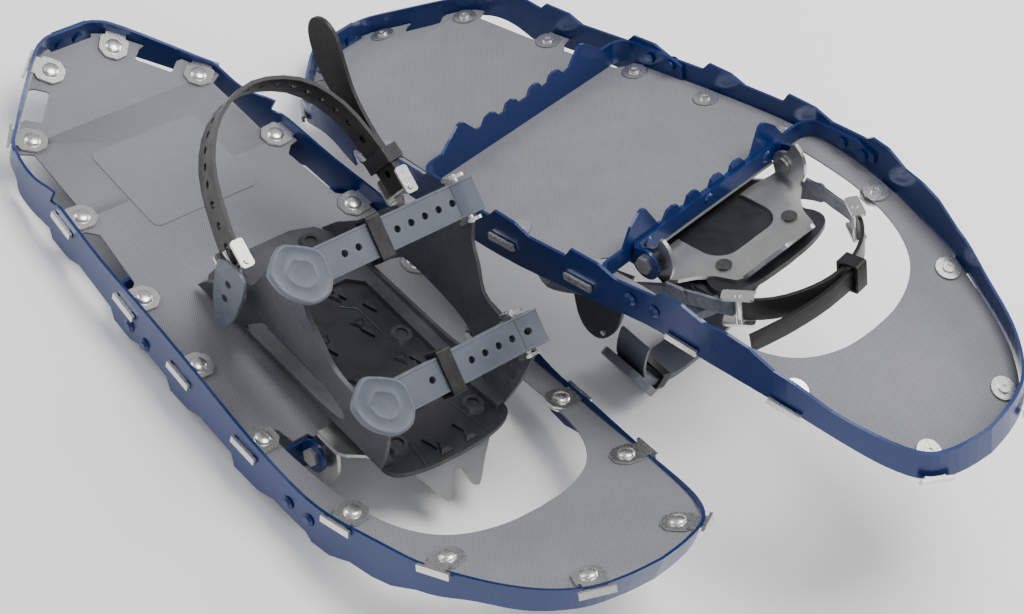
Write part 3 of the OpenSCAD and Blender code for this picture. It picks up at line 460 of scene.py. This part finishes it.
def fastened_strap(name, place, near, far, pad_y, holes, body, replaced):
    """Strap of the upright shoe: up from the near wing, across, round the far buckle and back to its pull."""
    upper = [(far, 9.4), (far - 8, 8.6), (far - 14, 5.8), (far - 18, 4.85), (0, 4.85), (-22, 4.85),
             (pad_y + 12, 4.85)]
    lower = [(-near + 1.4, -16), (-near + 1.4, -7), (-near + 2.4, -3.4), (-near + 6.5, -1.4), (-24, -1.3),
             (8, -1.3), (far - 18, -1.3), (far - 13, -0.4), (far - 7, 2.4), (far - 1, 5.9)]
    tab = [(near - 1.4, -16), (near - 1.4, -3), (near - 2.6, 0.0)]
    bm = bmesh.new()
    sweep(bm, curved(lower, 2.0), band_profile(21.5, 2.2, 0), place)
    finish_piece(name + "_under", "right", bm, "strap_grey", body).data.set_sharp_from_angle(
        angle=math.radians(38))
    bm = bmesh.new()
    sweep(bm, curved(tab, 2.0), band_profile(20.5, 2.2, 0), place)
    finish_piece(name + "_tab", "right", bm, "strap_grey", body).data.set_sharp_from_angle(
        angle=math.radians(38))
    bm = bmesh.new()
    sweep(bm, curved(upper, 2.0), band_profile(21.5, 2.4, 0.4), place)
    o = finish_piece(name, "right", bm, "strap_grey", body, replaced)
    cb = bmesh.new()
    up = (place.to_3x3() @ Vector((0, 0, 1))).normalized()
    for y in holes:
        rod(cb, place @ Vector((0, y, 7)), up, 2.3, 12, 24)
    cut(o, cb, "right")
    bm = bmesh.new()
    paddle(bm, place, pad_y, 3.4)
    p = finish_piece(name + "_pull", "right", bm, "strap_grey", body)
    p.data.set_sharp_from_angle(angle=math.radians(50))
    # Near-black discs just under the top band in the last six holes: painted shade for the holes' dark insides.
    bm = bmesh.new()
    for y in holes[-6:]:
        rod(bm, place @ Vector((0, y, 3.4)), up, 2.2, 1.0, 20)
    finish_piece(name + "_hole_shadow_discs", "right", bm, "strap_grey", body, mats=[HOLE_SHADOW])
    return o


def plate_details(side):
    """Three-cornered studs and ribs moulded on the foot plate, in the binding's tilted frame."""
    top = 16.0  # the plate's upper face
    bm = bmesh.new()
    studs = [(-22, -18, 0), (-22, 18, 0), (-58, -14, 0), (-58, 14, 0), (-84, -16, 0), (-84, 16, 0), (10, 0, 1),
             (-98, 0, 0), (46, -8, 1), (46, 12, 1)]
    for x, y, turned in studs:
        s = -1 if turned else 1
        base = [(5.5 * s, 0), (-4.5 * s, 5), (-4.5 * s, -5)]
        heights = ((1, top - 0.6), (1, top + 0.6), (0.45, top + 2.2))
        rings = [[(x + a * k, y + b * k, h) for a, b in base] for k, h in heights]
        vs = [[bm.verts.new(from_plate(*p)) for p in r] for r in rings]
        for a, b in zip(vs, vs[1:]):
            for i in range(3):
                bm.faces.new((a[i], a[(i + 1) % 3], b[(i + 1) % 3], b[i]))
        bm.faces.new(list(reversed(vs[0])))
        bm.faces.new(vs[-1])
    for x0, y0, x1, y1 in ((-40, -22, -70, -22), (-70, -22, -78, -12), (-40, 22, -70, 22), (-70, 22, -78, 12),
                           (-20, -26, 2, -10), (-20, 26, 2, 10), (2, -10, 2, 10), (20, -20, 52, -26),
                           (20, 20, 52, 26)):
        a, b = Vector((x0, y0, 0)), Vector((x1, y1, 0))
        n = (b - a).normalized().cross(Vector((0, 0, 1))) * 0.9
        sect = [(-n, -0.5), (-n, 0.35), (-n * 0.5, 0.7), (n * 0.5, 0.7), (n, 0.35), (n, -0.5)]
        ends = [[bm.verts.new(from_plate(e.x + m.x, e.y + m.y, top + h)) for m, h in sect] for e in (a, b)]
        for i in range(6):
            bm.faces.new((ends[0][i], ends[0][(i + 1) % 6], ends[1][(i + 1) % 6], ends[1][i]))
        bm.faces.new(list(reversed(ends[0])))
        bm.faces.new(ends[1])
    o = finish_piece(side + "_plate_studs", side, bm, "plate_black", side + "_binding", smooth=False)
    bev = o.modifiers.new("edges", "BEVEL")
    bev.width, bev.segments, bev.limit_method = 0.00035, 2, "ANGLE"
    return o


# ---- pieces ----
INSTEP, TOE = leaned(285, 112, 34), leaned(363, 72, 34)
fastened_strap("right_instep_band", INSTEP, 61.5, 64, -70, (-37, -26.5, -7.6, 3.2, 14, 24.8, 35.6, 46.4),
               "right_binding", ["right_instep_strap"])
fastened_strap("right_toe_band", TOE, 53, 60, -62, (-24.4, -13.6, 6.5, 17.3, 28.1, 38.9, 49.7),
               "right_binding", ["right_toe_strap"])
for side in SIDES:
    b, h = side + "_binding", side + "_heel"
    bm = from_cad(side + "_deck")
    deck = finish_piece(side + "_deck_sheet", side, bm, "deck_fabric", side + "_shoe", [side + "_deck"],
                        smooth=False)
    bm = from_cad(side + "_label_patch")
    finish_piece(side + "_patch", side, bm, "patch", side + "_shoe", [side + "_label_patch"], smooth=False)
    rounded(side + "_binding_cradle", "cradle_slate", b, 0.8)
    if side == "left":
        rounded(side + "_toe_strap", "strap_grey", b, 0.6)
        rounded(side + "_instep_strap", "strap_grey", b, 0.6)
    plate_details(side)
    rounded(side + "_foot_plate", "plate_black", b, 1.0)
    strap = rounded(side + "_heel_strap", "heel_black", h, 0.6)
    if side == "right":
        lean = leaned(235, 68, 26)
        loop = curved([(-30, -60), (-62, -50), (-86, -30), (-97, 0), (-88, 32), (-64, 52), (-30, 61)], 11)
        cb = bmesh.new()
        for i in range(2, len(loop) - 2):
            d = (loop[i + 1] - loop[i - 1]).normalized()
            rod(cb, lean @ Vector((loop[i][0], loop[i][1], 0)),
                (lean.to_3x3() @ Vector((d[1], -d[0], 0))), 2.5, 7, 24, (0.75, 1.0))
        cut(strap, cb, side)
    rounded(side + "_heel_tail", "strap_grey", h, 0.7)
    rounded(side + "_heel_keeper", "keeper_black", h, 0.5)
    rounded(side + "_toe_keeper", "keeper_black", side + "_toe_loop", 0.5)
    rounded(side + "_instep_keeper", "keeper_black", b if side == "left" else "right_instep_loop", 0.5)
